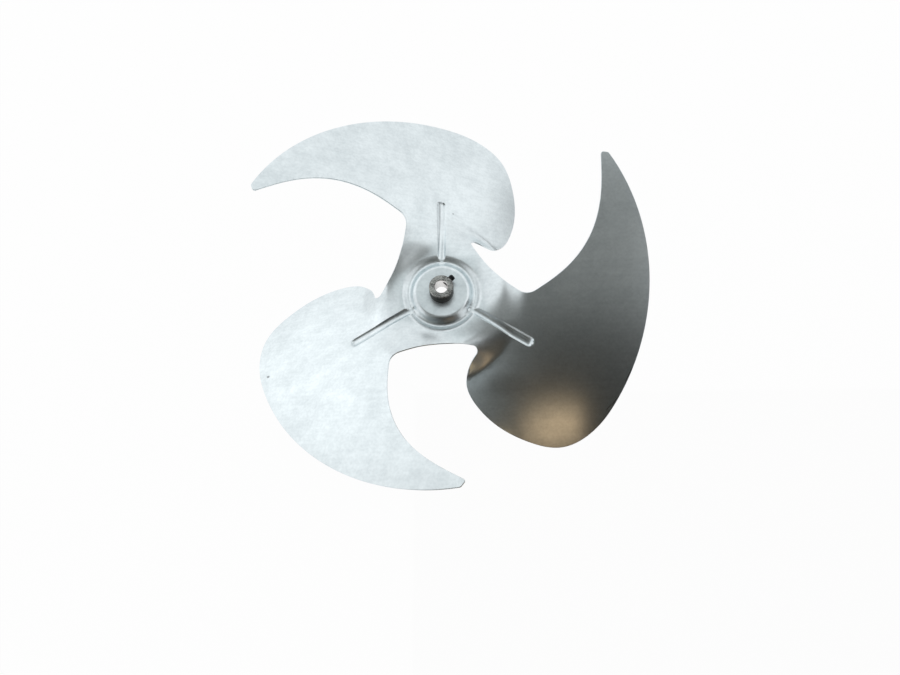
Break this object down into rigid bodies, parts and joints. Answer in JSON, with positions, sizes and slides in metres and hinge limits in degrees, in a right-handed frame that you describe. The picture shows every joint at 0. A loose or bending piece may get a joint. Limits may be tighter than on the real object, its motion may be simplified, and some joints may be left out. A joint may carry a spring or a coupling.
{
  "type": "axial fan impeller",
  "caption": "Pressed sheet-metal axial fan impeller with pitched sickle-shaped blades and a staked steel hub bush that a set screw clamps on a motor shaft.",
  "frame": {"origin": "on the bore axis, in the upper face of the flat web between the arms", "axes": "+Z along the bore axis, out of the side on which the hub stands; +Y along the groove of one blade"},
  "size_m": [0.3921, 0.3949, 0.1349],
  "materials": {
    "sheet_metal": "mill finish, faintly streaked, lightly marked",
    "bush_steel": "turned, dulled grey",
    "screw_black": "black oxide, satin"
  },
  "bodies": {
    "root": {"blade_sheet": "sheet_metal", "hub_bush": "bush_steel", "set_screw": "screw_black"}
  },
  "joints": []
}
